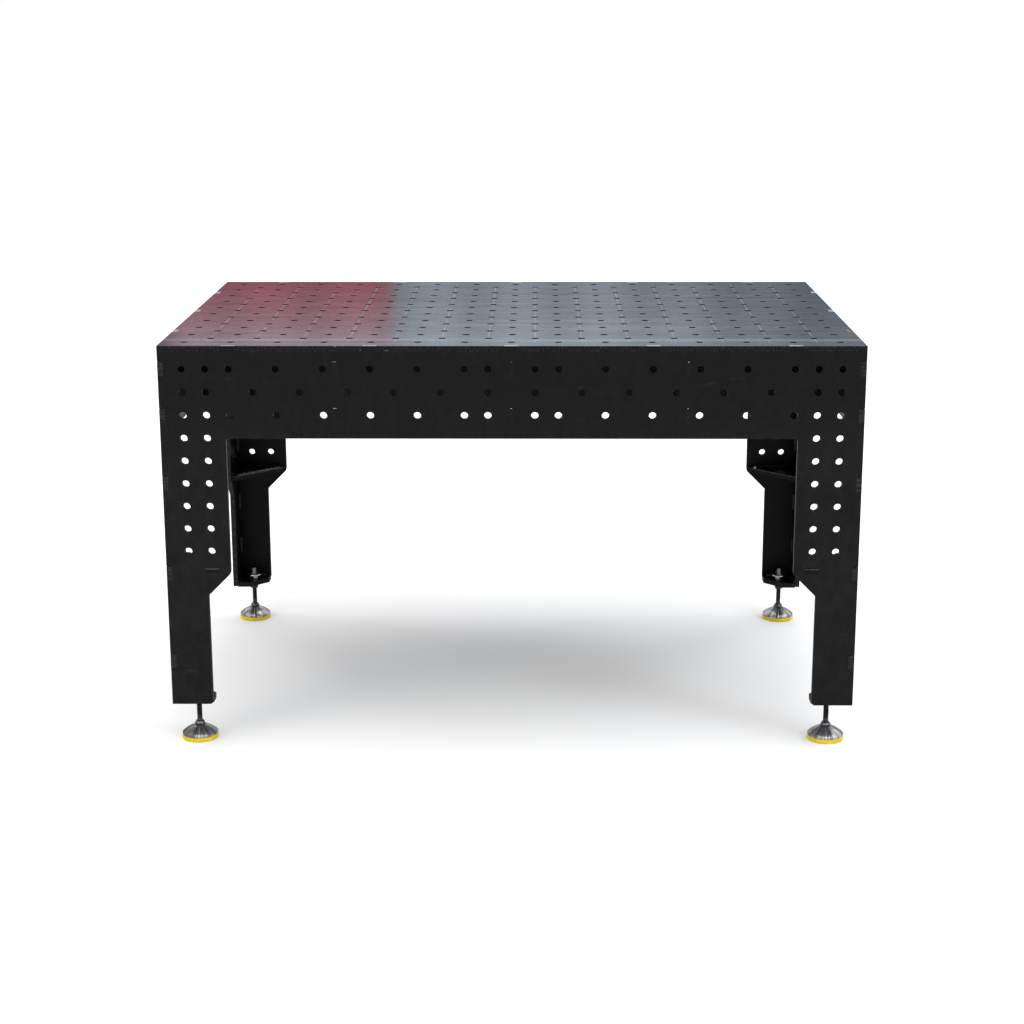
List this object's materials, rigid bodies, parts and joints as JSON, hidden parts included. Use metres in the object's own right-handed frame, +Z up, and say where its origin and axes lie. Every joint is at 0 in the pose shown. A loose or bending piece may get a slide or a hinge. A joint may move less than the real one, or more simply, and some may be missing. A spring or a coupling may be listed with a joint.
{
  "type": "welding table",
  "caption": "Perforated steel welding table with slotted aprons, tapered corner legs, an internal rib grid and screw-adjustable swivelling levelling feet.",
  "frame": {"origin": "on the floor under the middle of the table, feet at their stored setting", "axes": "+Z up, +X along the length to the right of someone facing the front, front at -Y"},
  "size_m": [1.5, 1, 0.895],
  "materials": {
    "work_surface_steel": "blackened and oiled, half gloss, fine rolling streaks, engraved grid lines",
    "panel_steel": "blackened steel, satin, faintly mottled",
    "zinc_fastener": "plain turned steel",
    "black_fastener": "black oxide",
    "stud_steel": "rolled thread, dark oiled steel",
    "polished_stainless": "turned and polished stainless steel",
    "seat_nylon": "natural nylon",
    "yellow_pad": "satin moulded elastomer"
  },
  "bodies": {
    "table": {"top_plate": "work_surface_steel", "front_panel": "panel_steel", "rear_panel": "panel_steel", "left_panel": "panel_steel", "right_panel": "panel_steel", "left_cross_rib": "panel_steel", "centre_cross_rib": "panel_steel", "right_cross_rib": "panel_steel", "front_long_rib": "panel_steel", "rear_long_rib": "panel_steel", "front_left_gusset": "panel_steel", "front_left_foot_plate": "panel_steel", "front_left_collar_nut": "zinc_fastener", "front_right_gusset": "panel_steel", "front_right_foot_plate": "panel_steel", "front_right_collar_nut": "zinc_fastener", "rear_left_gusset": "panel_steel", "rear_left_foot_plate": "panel_steel", "rear_left_collar_nut": "zinc_fastener", "rear_right_gusset": "panel_steel", "rear_right_foot_plate": "panel_steel", "rear_right_collar_nut": "zinc_fastener"},
    "front_left_foot_carrier": {"front_left_lower_ball_seat": "seat_nylon"},
    "front_left_stud": {"front_left_levelling_stud": "stud_steel"},
    "front_left_foot_tilt": {"front_left_upper_ball_seat": "seat_nylon"},
    "front_left_foot": {"front_left_foot_bell": "polished_stainless", "front_left_foot_pad": "yellow_pad"},
    "front_left_washer": {"front_left_lock_washer": "black_fastener"},
    "front_left_nut": {"front_left_lock_nut": "black_fastener"},
    "front_right_foot_carrier": {"front_right_lower_ball_seat": "seat_nylon"},
    "front_right_stud": {"front_right_levelling_stud": "stud_steel"},
    "front_right_foot_tilt": {"front_right_upper_ball_seat": "seat_nylon"},
    "front_right_foot": {"front_right_foot_bell": "polished_stainless", "front_right_foot_pad": "yellow_pad"},
    "front_right_washer": {"front_right_lock_washer": "black_fastener"},
    "front_right_nut": {"front_right_lock_nut": "black_fastener"},
    "rear_left_foot_carrier": {"rear_left_lower_ball_seat": "seat_nylon"},
    "rear_left_stud": {"rear_left_levelling_stud": "stud_steel"},
    "rear_left_foot_tilt": {"rear_left_upper_ball_seat": "seat_nylon"},
    "rear_left_foot": {"rear_left_foot_bell": "polished_stainless", "rear_left_foot_pad": "yellow_pad"},
    "rear_left_washer": {"rear_left_lock_washer": "black_fastener"},
    "rear_left_nut": {"rear_left_lock_nut": "black_fastener"},
    "rear_right_foot_carrier": {"rear_right_lower_ball_seat": "seat_nylon"},
    "rear_right_stud": {"rear_right_levelling_stud": "stud_steel"},
    "rear_right_foot_tilt": {"rear_right_upper_ball_seat": "seat_nylon"},
    "rear_right_foot": {"rear_right_foot_bell": "polished_stainless", "rear_right_foot_pad": "yellow_pad"},
    "rear_right_washer": {"rear_right_lock_washer": "black_fastener"},
    "rear_right_nut": {"rear_right_lock_nut": "black_fastener"}
  },
  "joints": [
    {"name": "front_left_height", "type": "slide", "parent": "table", "child": "front_left_foot_carrier", "axis": [0, 0, 1], "range_m": [-0.012, 0.03]},
    {"name": "front_left_stud_turn", "type": "hinge", "parent": "front_left_foot_carrier", "child": "front_left_stud", "pos_m": [-0.7, -0.45, 0.0215], "axis": [0, 0, 1], "range_deg": [-2480, 6180]},
    {"name": "front_left_tilt_sideways", "type": "hinge", "parent": "front_left_foot_carrier", "child": "front_left_foot_tilt", "pos_m": [-0.7, -0.45, 0.0215], "axis": [0, 1, 0], "range_deg": [-7, 7]},
    {"name": "front_left_tilt_fore_aft", "type": "hinge", "parent": "front_left_foot_tilt", "child": "front_left_foot", "pos_m": [-0.7, -0.45, 0.0215], "axis": [1, 0, 0], "range_deg": [-7, 7]},
    {"name": "front_left_lock_nut_travel", "type": "slide", "parent": "table", "child": "front_left_washer", "axis": [0, 0, -1], "range_m": [0, 0.008]},
    {"name": "front_left_lock_nut_turn", "type": "hinge", "parent": "front_left_washer", "child": "front_left_nut", "pos_m": [-0.7, -0.45, 0.087], "axis": [0, 0, -1], "range_deg": [-10, 1655]},
    {"name": "front_right_height", "type": "slide", "parent": "table", "child": "front_right_foot_carrier", "axis": [0, 0, 1], "range_m": [-0.012, 0.03]},
    {"name": "front_right_stud_turn", "type": "hinge", "parent": "front_right_foot_carrier", "child": "front_right_stud", "pos_m": [0.7, -0.45, 0.0215], "axis": [0, 0, 1], "range_deg": [-2480, 6180]},
    {"name": "front_right_tilt_sideways", "type": "hinge", "parent": "front_right_foot_carrier", "child": "front_right_foot_tilt", "pos_m": [0.7, -0.45, 0.0215], "axis": [0, 1, 0], "range_deg": [-7, 7]},
    {"name": "front_right_tilt_fore_aft", "type": "hinge", "parent": "front_right_foot_tilt", "child": "front_right_foot", "pos_m": [0.7, -0.45, 0.0215], "axis": [1, 0, 0], "range_deg": [-7, 7]},
    {"name": "front_right_lock_nut_travel", "type": "slide", "parent": "table", "child": "front_right_washer", "axis": [0, 0, -1], "range_m": [0, 0.008]},
    {"name": "front_right_lock_nut_turn", "type": "hinge", "parent": "front_right_washer", "child": "front_right_nut", "pos_m": [0.7, -0.45, 0.087], "axis": [0, 0, -1], "range_deg": [-10, 1655]},
    {"name": "rear_left_height", "type": "slide", "parent": "table", "child": "rear_left_foot_carrier", "axis": [0, 0, 1], "range_m": [-0.012, 0.03]},
    {"name": "rear_left_stud_turn", "type": "hinge", "parent": "rear_left_foot_carrier", "child": "rear_left_stud", "pos_m": [-0.7, 0.45, 0.0215], "axis": [0, 0, 1], "range_deg": [-2480, 6180]},
    {"name": "rear_left_tilt_sideways", "type": "hinge", "parent": "rear_left_foot_carrier", "child": "rear_left_foot_tilt", "pos_m": [-0.7, 0.45, 0.0215], "axis": [0, 1, 0], "range_deg": [-7, 7]},
    {"name": "rear_left_tilt_fore_aft", "type": "hinge", "parent": "rear_left_foot_tilt", "child": "rear_left_foot", "pos_m": [-0.7, 0.45, 0.0215], "axis": [1, 0, 0], "range_deg": [-7, 7]},
    {"name": "rear_left_lock_nut_travel", "type": "slide", "parent": "table", "child": "rear_left_washer", "axis": [0, 0, -1], "range_m": [0, 0.008]},
    {"name": "rear_left_lock_nut_turn", "type": "hinge", "parent": "rear_left_washer", "child": "rear_left_nut", "pos_m": [-0.7, 0.45, 0.087], "axis": [0, 0, -1], "range_deg": [-10, 1655]},
    {"name": "rear_right_height", "type": "slide", "parent": "table", "child": "rear_right_foot_carrier", "axis": [0, 0, 1], "range_m": [-0.012, 0.03]},
    {"name": "rear_right_stud_turn", "type": "hinge", "parent": "rear_right_foot_carrier", "child": "rear_right_stud", "pos_m": [0.7, 0.45, 0.0215], "axis": [0, 0, 1], "range_deg": [-2480, 6180]},
    {"name": "rear_right_tilt_sideways", "type": "hinge", "parent": "rear_right_foot_carrier", "child": "rear_right_foot_tilt", "pos_m": [0.7, 0.45, 0.0215], "axis": [0, 1, 0], "range_deg": [-7, 7]},
    {"name": "rear_right_tilt_fore_aft", "type": "hinge", "parent": "rear_right_foot_tilt", "child": "rear_right_foot", "pos_m": [0.7, 0.45, 0.0215], "axis": [1, 0, 0], "range_deg": [-7, 7]},
    {"name": "rear_right_lock_nut_travel", "type": "slide", "parent": "table", "child": "rear_right_washer", "axis": [0, 0, -1], "range_m": [0, 0.008]},
    {"name": "rear_right_lock_nut_turn", "type": "hinge", "parent": "rear_right_washer", "child": "rear_right_nut", "pos_m": [0.7, 0.45, 0.087], "axis": [0, 0, -1], "range_deg": [-10, 1655]}
  ],
  "couplings": [
    {"joint": "front_left_stud_turn", "follows": "front_left_height", "rad_per_m": 3590.4},
    {"joint": "front_left_lock_nut_turn", "follows": "front_left_lock_nut_travel", "rad_per_m": 3590.4},
    {"joint": "front_right_stud_turn", "follows": "front_right_height", "rad_per_m": 3590.4},
    {"joint": "front_right_lock_nut_turn", "follows": "front_right_lock_nut_travel", "rad_per_m": 3590.4},
    {"joint": "rear_left_stud_turn", "follows": "rear_left_height", "rad_per_m": 3590.4},
    {"joint": "rear_left_lock_nut_turn", "follows": "rear_left_lock_nut_travel", "rad_per_m": 3590.4},
    {"joint": "rear_right_stud_turn", "follows": "rear_right_height", "rad_per_m": 3590.4},
    {"joint": "rear_right_lock_nut_turn", "follows": "rear_right_lock_nut_travel", "rad_per_m": 3590.4}
  ]
}
